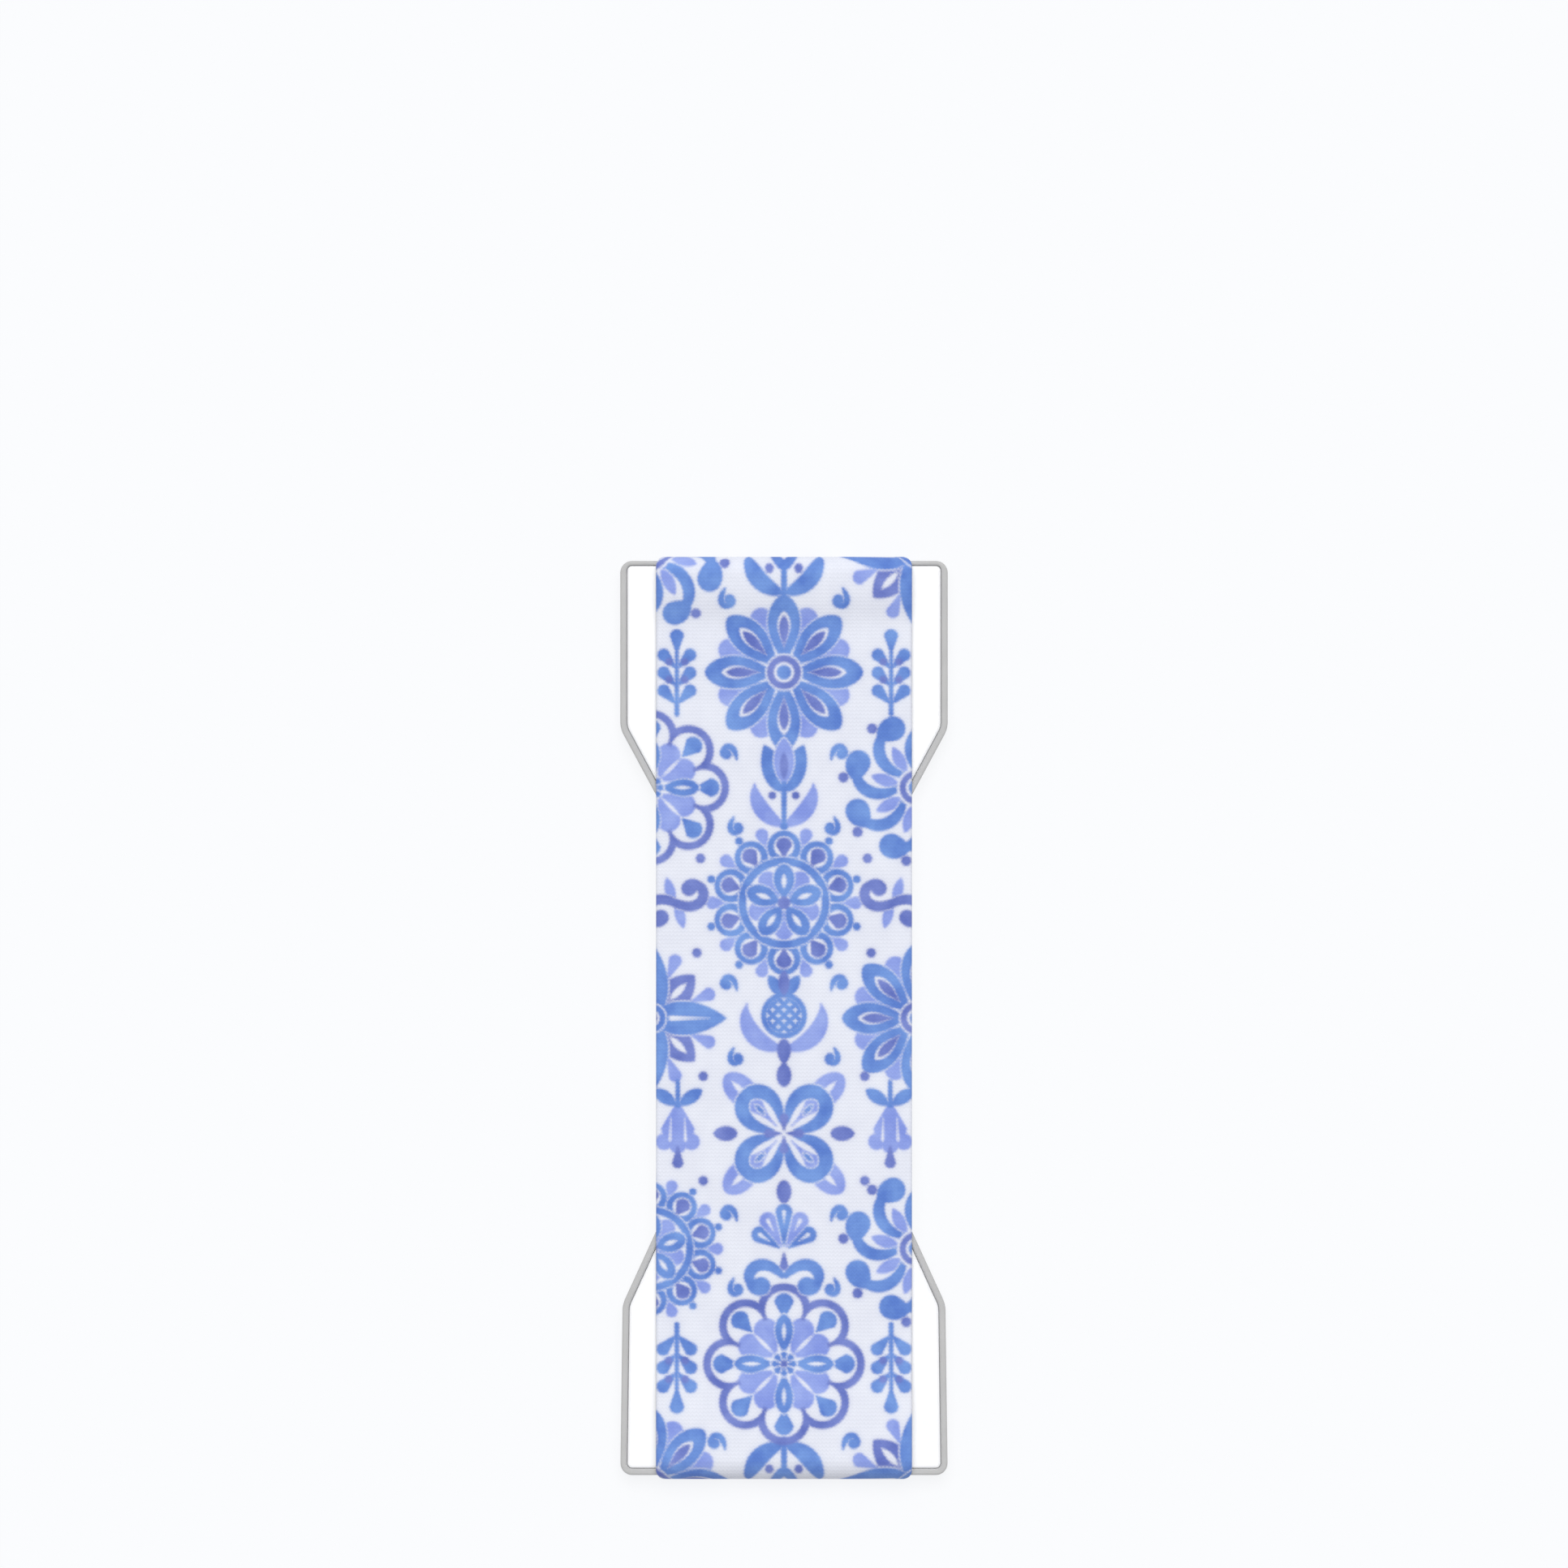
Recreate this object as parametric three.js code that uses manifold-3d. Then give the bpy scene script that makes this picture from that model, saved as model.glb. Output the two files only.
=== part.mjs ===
// Elastic finger strap for the back of a phone: a printed elastic band on two snap clips, which hook
// over the end bars of an hourglass base plate. The plate has a soft edge bead and a foam adhesive pad.
// Millimetres. X runs across the strap, Y along it, Z away from the phone, which is the plane z = 0.
import * as THREE from "three";
import { mergeVertices } from "three/addons/utils/BufferGeometryUtils.js";
import Module from "manifold-3d";

const wasm = await Module();
wasm.setup();

// Base outline, measured over the edge bead
const baseLength = 100.8;
const baseWidth = 36.1;
const lowerWingFlare = 0.25; // widening of the lower wings towards the end, each side
const waistWidth = 22.4;
const upperWingLength = 18.5; // straight side of a wing, up to where it starts to narrow
const lowerWingLength = 18.8;
const upperTaperLength = 12.7; // from there down to the waist
const lowerTaperLength = 14.4;
const endCornerRadius = 1.3;
const sideCornerRadius = 3.0;
const waistCornerRadius = 16.0;

// Layers, from the phone up
const padThickness = 0.8;
const plateThickness = 2.0;
const edgeRound = 0.25;

// Edge bead
const beadWidth = 0.72;
const upperEndBeadWidth = 0.5; // the bead is narrower across the upper end
const beadRound = 0.2;
const beadProud = 0.15; // how far the bead stands above the plate
const beadLift = 0.35; // gap between the bead and the phone
const keyDepth = 0.4; // tongue that locks the bead in the plate's side
const keyHeight = 0.6;
const mouldGap = 0.02;

// Band
const bandWidth = 28.2;
const bandThickness = 0.85;
const noseOverhang = 0.45; // band beyond the end of the base
const bandClearance = 0.3; // between the flat of the band and the bead under it
const bandEdgeRadius = 0.3;
const noseCornerRadius = 0.7; // rounding of the band's corners, seen from above
const upperCrestRadius = 1.15; // of the upper clip, where the band bends over it
const lowerCrestRadius = 1.5; // the lower clip is rounder and its band comes down more gently
const footRadius = 0.75; // of both clips, where the band turns under them
const crestFlat = 0.1;
const upperRampLength = 4.6; // from the crest down to the flat of the band
const lowerRampLength = 15.0;
const rampFacetLength = 0.6; // of the ramps' straight facets
const turnFacets = 8; // in each quarter turn of the band
const tailLift = 0.1; // tail of the band above the phone
const tailLength = 4.9;

// Clip and the bar that it hooks over
const glueGap = 0.05;
const clipSideInset = 0.25; // band beyond the clip, each side, at the nose
const noseWall = 0.95;
const topWall = 1.05; // thickness of the clip over the bar
const topWallLength = 5.2;
const topTip = 0.15; // thickness left at the tip of the top wall
const legThickness = 0.7;
const legLength = 4.6;
const leadIn = 0.2; // slopes at both tips that guide the clip onto the bar
const mouthRadius = 0.25;
const clipSideRadius = 0.5;
const hookClearance = 0.15;
const barWidth = 2.2;
const barClearance = 0.2; // between the bar and the clip's leg under it
const barRound = 0.3;
const windowLength = 3.3; // opening in the plate behind the bar
const windowRadius = 0.8;
const notchClearance = 0.45; // plate beside the band's nose
const barbCount = 3;
const barbWidth = 4.5;
const barbInset = 0.55; // from the clip's sides to the row of barbs, each of which has an equal share
const barbHeight = 0.45;
const barbLength = 1.1;
const barbCrest = 0.25;
const barShoulder = 0.6; // length of the bar sunk into the plate at each side

// Foam adhesive pad
const padInset = 1.3;
const padSetback = 0.5; // pad behind the window, and beside the notch
const padCornerRadius = 0.8;

// Places worked out from the sizes above
const plateBottom = padThickness;
const plateTop = plateBottom + plateThickness;
const beadTop = plateTop + beadProud;
const halfThickness = bandThickness / 2;
const bandFlat = beadTop + bandClearance + halfThickness; // height of the band's middle surface
const bandEnd = baseLength / 2 + noseOverhang; // outermost y of the band's nose
const noseY = bandEnd - halfThickness;
const clipNoseY = noseY - halfThickness - glueGap;
const barOuterY = clipNoseY - noseWall - hookClearance;
const barInnerY = barOuterY - barWidth;
const windowY = barInnerY - windowLength;
const topWallBottom = plateTop + hookClearance;
const bandCrest = topWallBottom + topWall + glueGap + halfThickness;
const tailZ = tailLift + halfThickness;
const legBottom = tailLift + bandThickness + glueGap;
const legTop = legBottom + legThickness;
const barBottom = legTop + barClearance;
const noseHalfWidth = bandWidth / 2 - noseCornerRadius;
const clipHalfWidth = noseHalfWidth - clipSideInset;
const barbPitch = (2 * (clipHalfWidth - barbInset)) / barbCount;
const notchHalfWidth = noseHalfWidth + notchClearance;

// A closed mesh as a solid for cutting and joining
function solidOf(geometry) {
  const bare = geometry.index ? geometry.toNonIndexed() : geometry.clone();
  for (const attribute of Object.keys(bare.attributes)) {
    if (attribute !== "position") bare.deleteAttribute(attribute);
  }
  const merged = mergeVertices(bare, 1e-4);
  const mesh = new wasm.Mesh({
    numProp: 3,
    vertProperties: merged.attributes.position.array,
    triVerts: new Uint32Array(merged.index.array),
  });
  return new wasm.Manifold(mesh);
}

function geometryOf(solid) {
  const { numProp, numVert, vertProperties, triVerts } = solid.getMesh();
  const positions = new Float32Array(numVert * 3);
  for (let i = 0; i < numVert; i++) {
    positions.set(vertProperties.subarray(i * numProp, i * numProp + 3), i * 3);
  }
  const geometry = new THREE.BufferGeometry();
  geometry.setAttribute("position", new THREE.BufferAttribute(positions, 3));
  geometry.setIndex(new THREE.BufferAttribute(new Uint32Array(triVerts), 1));
  geometry.computeVertexNormals();
  return geometry;
}

// A closed outline through corners given counter-clockwise, moved inwards and rounded at each corner
function roundedShape(corners, inset = 0) {
  const shape = new THREE.Shape();
  const heading = (from, to) => new THREE.Vector2(to.x - from.x, to.y - from.y).normalize();
  corners.forEach((corner, i) => {
    const before = heading(corners.at(i - 1), corner);
    const after = heading(corner, corners[(i + 1) % corners.length]);
    const inBefore = new THREE.Vector2(-before.y, before.x);
    const inAfter = new THREE.Vector2(-after.y, after.x);
    const turn = Math.atan2(before.cross(after), before.dot(after));
    const side = Math.sign(turn);
    const radius = Math.max(corner.radius - side * inset, 0.05);
    const reach = radius * Math.tan(Math.abs(turn) / 2);
    const shift = inset / (1 + inBefore.dot(inAfter));
    const x = corner.x + shift * (inBefore.x + inAfter.x);
    const y = corner.y + shift * (inBefore.y + inAfter.y);
    const centreX = x - before.x * reach + side * inBefore.x * radius;
    const centreY = y - before.y * reach + side * inBefore.y * radius;
    const start = Math.atan2(-side * inBefore.y, -side * inBefore.x);
    shape.absarc(centreX, centreY, radius, start, start + turn, turn < 0);
  });
  return shape;
}

// Corners of the hourglass base, counter-clockwise from the lower right, with the upper end moved out
function baseCorners(upperEndShift = 0) {
  const end = baseLength / 2;
  const side = baseWidth / 2;
  const waist = waistWidth / 2;
  const lowerSideEnd = lowerWingLength - end;
  const upperSideEnd = end - upperWingLength;
  const right = [
    { x: side, y: -end, radius: endCornerRadius },
    { x: side - lowerWingFlare, y: lowerSideEnd, radius: sideCornerRadius },
    { x: waist, y: lowerSideEnd + lowerTaperLength, radius: waistCornerRadius },
    { x: waist, y: upperSideEnd - upperTaperLength, radius: waistCornerRadius },
    { x: side, y: upperSideEnd, radius: sideCornerRadius },
    { x: side, y: end + upperEndShift, radius: endCornerRadius },
  ];
  const left = right.map((corner) => ({ ...corner, x: -corner.x })).reverse();
  return [...right, ...left];
}

// A prism of an outline between two heights, its edges rounded where a round is given
function prism(shape, bottom, top, round = 0) {
  const geometry = new THREE.ExtrudeGeometry(shape, {
    depth: top - bottom - 2 * round,
    curveSegments: 4,
    bevelEnabled: round > 0,
    bevelThickness: round,
    bevelSize: round,
    bevelOffset: -round,
    bevelSegments: 2,
  });
  return solidOf(geometry.translate(0, 0, bottom + round));
}

function block(x0, x1, y0, y1, z0, z1) {
  const geometry = new THREE.BoxGeometry(x1 - x0, y1 - y0, z1 - z0);
  return solidOf(geometry.translate((x0 + x1) / 2, (y0 + y1) / 2, (z0 + z1) / 2));
}

// A section drawn in (y, z), run along x from one side to the other
function bar(section, x0, x1) {
  const geometry = new THREE.ExtrudeGeometry(section, {
    depth: x1 - x0,
    curveSegments: 3,
    bevelEnabled: false,
  });
  const yToShapeX = new THREE.Vector3(0, 1, 0);
  const zToShapeY = new THREE.Vector3(0, 0, 1);
  const xToDepth = new THREE.Vector3(1, 0, 0);
  geometry.applyMatrix4(new THREE.Matrix4().makeBasis(yToShapeX, zToShapeY, xToDepth));
  return solidOf(geometry.translate(x0, 0, 0));
}

const rectangle = (x0, x1, y0, y1, radius) =>
  roundedShape([
    { x: x0, y: y0, radius },
    { x: x1, y: y0, radius },
    { x: x1, y: y1, radius },
    { x: x0, y: y1, radius },
  ]);

// The same solid at the other end of the strap
const turnedRound = (solid) => solid.rotate([0, 0, 180]);
const atBothEnds = (solid) => solid.add(turnedRound(solid));

// The two ends of the strap, each drawn as if it were the upper one
const upperEnd = { crestRadius: upperCrestRadius, rampLength: upperRampLength };
const lowerEnd = { crestRadius: lowerCrestRadius, rampLength: lowerRampLength };

// Half of the band's middle surface in (y, z), from the middle of the strap to the tip of the tail
function bandPath({ crestRadius, rampLength }) {
  const crest = crestRadius + glueGap + halfThickness;
  const foot = footRadius + glueGap + halfThickness;
  const crestEnd = noseY - crest;
  const crestStart = crestEnd - crestFlat;
  const rampStart = crestStart - rampLength;
  const path = new THREE.Path();
  path.moveTo(0, bandFlat);
  path.lineTo(rampStart, bandFlat);
  const pull = rampLength * 0.45;
  path.bezierCurveTo(rampStart + pull, bandFlat, crestStart - pull, bandCrest, crestStart, bandCrest);
  path.lineTo(crestEnd, bandCrest);
  path.absarc(crestEnd, bandCrest - crest, crest, Math.PI / 2, 0, true);
  path.lineTo(noseY, tailZ + foot);
  path.absarc(noseY - foot, tailZ + foot, foot, 0, -Math.PI / 2, true);
  path.lineTo(bandEnd - tailLength, tailZ);
  return path;
}

// Stations along the band, each with its place and its upward or outward normal
function bandStations(end) {
  const stations = [];
  for (const curve of bandPath(end).curves) {
    const rampFacets = Math.ceil(curve.getLength() / rampFacetLength);
    const steps = curve.isLineCurve ? 1 : curve.isEllipseCurve ? turnFacets : rampFacets;
    for (let i = stations.length ? 1 : 0; i <= steps; i++) {
      const point = curve.getPoint(i / steps);
      const tangent = curve.getTangent(i / steps);
      stations.push({ y: point.x, z: point.y, normalY: -tangent.y, normalZ: tangent.x });
    }
  }
  return stations;
}

// Half the band's width: full on top, drawn in by the round of its corners, and narrow from the nose on
function bandHalfWidth(station, afterNose) {
  if (afterNose) return noseHalfWidth;
  const outerY = station.y + halfThickness * station.normalY;
  const intoCorner = outerY - (bandEnd - noseCornerRadius);
  if (intoCorner <= 0) return bandWidth / 2;
  const share = Math.min(intoCorner / noseCornerRadius, 1);
  return noseHalfWidth + noseCornerRadius * Math.sqrt(1 - share * share);
}

// Solid through rings of points, closed by a fan at each end
function loft(rings) {
  const count = rings[0].length;
  const positions = rings.flat(2);
  const index = [];
  for (let r = 0; r + 1 < rings.length; r++) {
    for (let i = 0; i < count; i++) {
      const a = r * count + i;
      const b = r * count + ((i + 1) % count);
      index.push(a, b, b + count, a, b + count, a + count);
    }
  }
  const last = (rings.length - 1) * count;
  for (let i = 1; i + 1 < count; i++) {
    index.push(0, i + 1, i);
    index.push(last, last + i, last + i + 1);
  }
  const geometry = new THREE.BufferGeometry();
  geometry.setAttribute("position", new THREE.Float32BufferAttribute(positions, 3));
  geometry.setIndex(index);
  return geometry;
}

// Stations of one end, each with half the band's width there
function widenedStations(end) {
  const stations = bandStations(end);
  const noseAt = stations.findIndex((station) => station.normalZ < 1e-6);
  return stations.map((station, i) => ({
    ...station,
    halfWidth: bandHalfWidth(station, i >= noseAt),
  }));
}

function band() {
  const lowerHalf = widenedStations(lowerEnd)
    .slice(1)
    .reverse()
    .map((station) => ({ ...station, y: -station.y, normalY: -station.normalY }));
  const rings = [...lowerHalf, ...widenedStations(upperEnd)].map((station) => {
    const section = rectangle(
      -station.halfWidth,
      station.halfWidth,
      -halfThickness,
      halfThickness,
      bandEdgeRadius,
    );
    const points = section.extractPoints(2).shape;
    const opened = points[0].distanceTo(points.at(-1)) < 1e-6 ? points.slice(0, -1) : points;
    return opened.map((point) => [
      point.x,
      station.y + point.y * station.normalY,
      station.z + point.y * station.normalZ,
    ]);
  });
  return solidOf(loft(rings.reverse()));
}

// A snap clip: its outer skin follows the inside of the band, and its mouth takes the end bar
function clip(end) {
  const offset = halfThickness + glueGap;
  const tipY = clipNoseY - topWallLength;
  const legTipY = clipNoseY - legLength;
  const skin = bandStations(end)
    .map((station) => ({
      y: station.y - offset * station.normalY,
      z: station.z - offset * station.normalZ,
    }))
    .filter((point) => point.y > (point.z > barBottom ? tipY : legTipY) + leadIn);
  const section = new THREE.Shape();
  section.moveTo(tipY, topWallBottom);
  section.lineTo(tipY, topWallBottom + topTip);
  skin.forEach((point) => section.lineTo(point.y, point.z));
  section.lineTo(legTipY, legBottom);
  section.lineTo(legTipY, legTop - leadIn);
  section.lineTo(legTipY + leadIn, legTop);
  const mouthY = clipNoseY - noseWall;
  section.lineTo(mouthY - mouthRadius, legTop);
  section.absarc(mouthY - mouthRadius, legTop + mouthRadius, mouthRadius, -Math.PI / 2, 0, false);
  section.absarc(mouthY - mouthRadius, topWallBottom - mouthRadius, mouthRadius, 0, Math.PI / 2, false);
  section.closePath();

  const body = bar(section, -clipHalfWidth, clipHalfWidth);
  const plan = roundedShape([
    { x: -clipHalfWidth, y: tipY, radius: clipSideRadius },
    { x: clipHalfWidth, y: tipY, radius: clipSideRadius },
    { x: clipHalfWidth, y: clipNoseY, radius: noseCornerRadius },
    { x: -clipHalfWidth, y: clipNoseY, radius: noseCornerRadius },
  ]);
  let solid = body.intersect(prism(plan, 0, bandCrest));

  const barbY = barInnerY - hookClearance;
  const barb = new THREE.Shape();
  barb.moveTo(barbY, legTop - leadIn);
  barb.lineTo(barbY, legTop + barbHeight);
  barb.lineTo(barbY - barbCrest, legTop + barbHeight);
  barb.lineTo(barbY - barbLength, legTop - leadIn);
  barb.closePath();
  for (let i = 0; i < barbCount; i++) {
    const middle = (i - (barbCount - 1) / 2) * barbPitch;
    solid = solid.add(bar(barb, middle - barbWidth / 2, middle + barbWidth / 2));
  }
  return solid;
}

// Outline that the plate is set in from by the bead's width
const mouldCorners = () => baseCorners(beadWidth - upperEndBeadWidth);

function basePlate() {
  const corners = mouldCorners();
  const keyMiddle = (plateBottom + plateTop) / 2;
  let plate = prism(roundedShape(corners, beadWidth + mouldGap), plateBottom, plateTop, edgeRound);
  const groove = prism(
    ringShape(corners, beadWidth, beadWidth + mouldGap + keyDepth),
    keyMiddle - keyHeight / 2 - mouldGap,
    keyMiddle + keyHeight / 2 + mouldGap,
  );
  plate = plate.subtract(groove);
  const opening = prism(
    rectangle(-notchHalfWidth, notchHalfWidth, windowY, baseLength, windowRadius),
    0,
    2 * plateTop,
  );
  plate = plate.subtract(atBothEnds(opening));
  const barSection = rectangle(barInnerY, barOuterY, barBottom, plateTop, barRound);
  const barEnd = notchHalfWidth + barShoulder;
  return plate.add(atBothEnds(bar(barSection, -barEnd, barEnd)));
}

// The strip between two outlines, or between two insets of one
function ringShape(corners, outer, inner, innerCorners = corners) {
  const shape = roundedShape(corners, outer);
  shape.holes.push(roundedShape(innerCorners, inner));
  return shape;
}

// The bead round the plate, open where the band passes over each end: a left and a right strip
function edgeBeads() {
  const keyMiddle = (plateBottom + plateTop) / 2;
  const section = ringShape(baseCorners(), 0, beadWidth, mouldCorners());
  const rim = prism(section, beadLift, beadTop, beadRound);
  const tongue = prism(
    ringShape(mouldCorners(), beadWidth / 2, beadWidth + keyDepth),
    keyMiddle - keyHeight / 2,
    keyMiddle + keyHeight / 2,
  );
  const pass = block(-notchHalfWidth, notchHalfWidth, windowY, baseLength, 0, 2 * plateTop);
  const strips = rim.add(tongue).subtract(atBothEnds(pass)).decompose();
  const middleX = (solid) => (solid.boundingBox().min[0] + solid.boundingBox().max[0]) / 2;
  return strips.sort((a, b) => middleX(a) - middleX(b));
}

function adhesivePad() {
  const pad = prism(roundedShape(baseCorners(), padInset), 0, padThickness);
  const halfWidth = notchHalfWidth + padSetback;
  const clear = prism(
    rectangle(-halfWidth, halfWidth, windowY - padSetback, baseLength, padCornerRadius),
    -1,
    2 * padThickness,
  );
  return pad.subtract(atBothEnds(clear));
}

const strap = new THREE.Group();

function place(name, solid, material) {
  const mesh = new THREE.Mesh(geometryOf(solid), material);
  mesh.name = name;
  strap.add(mesh);
}

const plastic = (color, roughness) =>
  new THREE.MeshStandardMaterial({ color, roughness, metalness: 0 });
const whitePlastic = plastic(0xf6f6f7, 0.45);
const greyElastomer = plastic(0xbfbfbf, 0.65);
const clipPlastic = plastic(0xe4e6ea, 0.4);
const foam = plastic(0xd3d5d8, 0.9);
const printedFabric = plastic(0xb9c6ea, 0.8);

const [leftBead, rightBead] = edgeBeads();
place("adhesive_pad", adhesivePad(), foam);
place("base_plate", basePlate(), whitePlastic);
place("edge_bead_left", leftBead, greyElastomer);
place("edge_bead_right", rightBead, greyElastomer);
place("upper_clip", clip(upperEnd), clipPlastic);
place("lower_clip", turnedRound(clip(lowerEnd)), clipPlastic);
place("elastic_band", band(), printedFabric);

export default strap;
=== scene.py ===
"""Elastic finger strap for a phone: a printed knit band over two snap clips and an hourglass base plate.

The strap lies on its adhesive pad and is seen from straight above, its length along Y.
Lengths are in metres, except in the print, which is drawn in millimetres of the flat band, and in the lens.
"""

import math

import bpy
import numpy as np
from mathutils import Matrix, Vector


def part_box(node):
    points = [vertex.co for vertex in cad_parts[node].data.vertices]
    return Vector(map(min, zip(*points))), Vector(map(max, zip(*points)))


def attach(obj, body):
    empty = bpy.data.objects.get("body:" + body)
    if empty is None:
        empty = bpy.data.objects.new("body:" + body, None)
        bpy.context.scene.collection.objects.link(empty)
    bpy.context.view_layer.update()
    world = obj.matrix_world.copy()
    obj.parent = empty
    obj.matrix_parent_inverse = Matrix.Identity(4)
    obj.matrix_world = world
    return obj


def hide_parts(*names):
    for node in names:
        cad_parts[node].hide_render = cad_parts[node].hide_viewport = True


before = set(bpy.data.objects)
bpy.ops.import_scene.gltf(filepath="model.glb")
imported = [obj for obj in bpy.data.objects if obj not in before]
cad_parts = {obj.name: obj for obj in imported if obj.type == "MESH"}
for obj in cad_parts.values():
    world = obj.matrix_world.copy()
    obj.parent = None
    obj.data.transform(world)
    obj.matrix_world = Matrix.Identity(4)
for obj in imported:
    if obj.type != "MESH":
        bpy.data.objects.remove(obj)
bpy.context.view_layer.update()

MM = 0.001

# Band, on the frame's own ends and heights
CLOTH_THICKNESS = 0.85 * MM
CLOTH_CLEARANCE = 0.3 * MM  # between the flat of the band and the bead under it
CLOTH_EDGE_ROUND = 0.3 * MM
NOSE_CORNER_ROUND = 0.7 * MM  # of the band's corners, seen from above
UPPER_CREST_TURN = 1.625 * MM  # radius of the band's middle line over the upper clip
LOWER_CREST_TURN = 1.975 * MM
FOOT_TURN = 1.225 * MM  # under both clips
UPPER_CREST_FLAT = 0.8 * MM
LOWER_CREST_FLAT = 0.1 * MM
UPPER_RAMP = 5.6 * MM  # from the crest down to the flat of the band
LOWER_RAMP = 15.0 * MM
TAIL_LENGTH = 4.9 * MM
MESH_STEP = 0.2 * MM  # of the band's mesh, along it and across its face
EDGE_COLUMNS = 6  # of the mesh, round each edge of the band
BACK_COLUMNS = 12  # of the mesh, across the band's underside
WELD_DISTANCE = 0.001 * MM
RAMP_PULL = 0.45  # how far the handles of a ramp's curve reach, as a share of its length

# Knit
WALE = 0.42 * MM  # width of one column of loops: about 0.25 mm in such a knit, drawn coarser to show
COURSE = 0.42 * MM  # height of one row of loops: about 0.2 mm in such a knit, drawn coarser to show
DYE_PATCH = 2.6 * MM  # over which the dye is a little lighter and darker

# Print, in millimetres of the flat band
REPEAT = 25.4  # from one whole medallion to the next
EDGE_MEDALLION = 14.6  # from the band's middle line to the middle of a half medallion
END_MEDALLION = 51.2  # from the middle of the strap to the half medallions at its ends
MOTIF_REACH = 10.0  # no motif goes further than this from its own middle
STROKE_STEPS = 32  # along a curved brush stroke
PRINT_REACH = 1.2  # distances are kept up to this far from a motif
INK_SPREAD = 0.05  # how far the dye runs into the cloth beyond each motif's outline
INK_SOFTNESS = 0.22  # half the width of a motif's soft edge
INK_RAGGEDNESS = 0.09  # how much the loops break up that edge
INK_HALO = 0.7  # how far the ground is faintly tinted beside a motif
HALO_STRENGTH = 0.09

# Inks from the lowest up, each with its lighter and its deeper tone
INKS = {
    "periwinkle": ("#9EB0EF", "#8598E4"),
    "blue": ("#799FE3", "#5C80D0"),
    "violet": ("#808FD5", "#6272C0"),
}

# Grain of the other finishes
SPARK_GRAIN = 0.25 * MM  # of the plate: about 0.05 mm on a real mould, drawn coarser to show
PLASTIC_CLOUD = 11.0 * MM
RUBBER_MOTTLE = 3.0 * MM
RUBBER_PORE = 0.2 * MM
FLOW_LINE = 1.1 * MM  # of the nylon, across its flow
FLOW_STRETCH = 0.15  # scale of that pattern along the flow, as a share of the scale across it
FOAM_BUBBLE = 0.3 * MM  # about 0.1 mm in the real tape, drawn coarser to show

# View: the strap fills the lower middle of a square picture, taken from straight above
PICTURE_SIDE = 173.3 * MM
PICTURE_CENTRE_Y = 25.8 * MM
LENS = 250.0  # in millimetres, and so is the sensor
SENSOR = 36.0
NEAREST_SEEN = 0.05  # from the camera, and so is the next
FURTHEST_SEEN = 20.0

# Light: a broad soft key from beyond the upper end, over an even surround, with angles in degrees
SURROUND_LIGHT = 0.36
KEY_TILT = 22.0
KEY_SPREAD = 40.0

# The key gives a level surface the light that the surround leaves it short of
KEY_LIGHT = (1.0 - SURROUND_LIGHT) * math.pi / math.cos(math.radians(KEY_TILT))

# Floor
FLOOR_SIDE = 12.0
FLOOR_DROP = 0.01 * MM
FLOOR_WHITENESS = 0.88  # share of plain white in the floor, as the camera sees it

# A Mix node's colour sockets, by number, since its other sockets have the same names
MIX_FROM = 6
MIX_TO = 7
MIX_RESULT = 2


# Colours and node trees


def colour(code):
    """Linear colour of an sRGB hex value."""
    parts = [int(code[i : i + 2], 16) / 255 for i in (1, 3, 5)]
    linear = [c / 12.92 if c <= 0.04045 else ((c + 0.055) / 1.055) ** 2.4 for c in parts]
    return (*linear, 1.0)


def add(tree, kind, inputs=None, **settings):
    """A node with its settings; each input is linked to a node, a socket or a list of them, or set.

    Inputs go by name, or by number for a node's first ones and where a node repeats a name.
    """
    node = tree.nodes.new(kind)
    for name, value in settings.items():
        setattr(node, name, value)
    for key, value in (inputs or {}).items():
        for source in value if isinstance(value, list) else [value]:
            if isinstance(source, bpy.types.Node):
                tree.links.new(source.outputs[0], node.inputs[key])
            elif isinstance(source, bpy.types.NodeSocket):
                tree.links.new(source, node.inputs[key])
            else:
                node.inputs[key].default_value = source
    return node


def finish_for(name):
    """An empty material and its tree."""
    material = bpy.data.materials.new(name)
    material.use_nodes = True
    material.node_tree.nodes.clear()
    return material, material.node_tree


# Camera, floor and light


def place_camera():
    """A long lens straight above, so far up that the picture takes in its side of floor."""
    data = bpy.data.cameras.new("camera")
    data.lens = LENS
    data.sensor_width = SENSOR
    data.clip_start = NEAREST_SEEN
    data.clip_end = FURTHEST_SEEN
    camera = bpy.data.objects.new("camera", data)
    bpy.context.scene.collection.objects.link(camera)
    camera.location = (0.0, PICTURE_CENTRE_Y, PICTURE_SIDE * LENS / SENSOR)
    bpy.context.scene.camera = camera


def lay_floor():
    """A white floor just under the pad, which shows as white paper and keeps a faint shadow."""
    half = FLOOR_SIDE / 2
    mesh = bpy.data.meshes.new("floor")
    corners = [(x, y, -FLOOR_DROP) for x, y in ((-half, -half), (half, -half), (half, half), (-half, half))]
    mesh.from_pydata(corners, [], [(0, 1, 2, 3)])
    floor = bpy.data.objects.new("floor", mesh)
    bpy.context.scene.collection.objects.link(floor)
    material, tree = finish_for("white_paper")
    paper = add(tree, "ShaderNodeBsdfDiffuse", {"Color": colour("#F4F5F7")})
    white = add(tree, "ShaderNodeEmission", {"Color": colour("#FCFDFF"), "Strength": 1.0})
    ray = add(tree, "ShaderNodeLightPath")
    seen = add(
        tree,
        "ShaderNodeMath",
        {0: ray.outputs["Is Camera Ray"], 1: FLOOR_WHITENESS},
        operation="MULTIPLY",
    )
    mixed = add(tree, "ShaderNodeMixShader", {0: seen, 1: paper, 2: white})
    add(tree, "ShaderNodeOutputMaterial", {0: mixed})
    mesh.materials.append(material)


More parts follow.
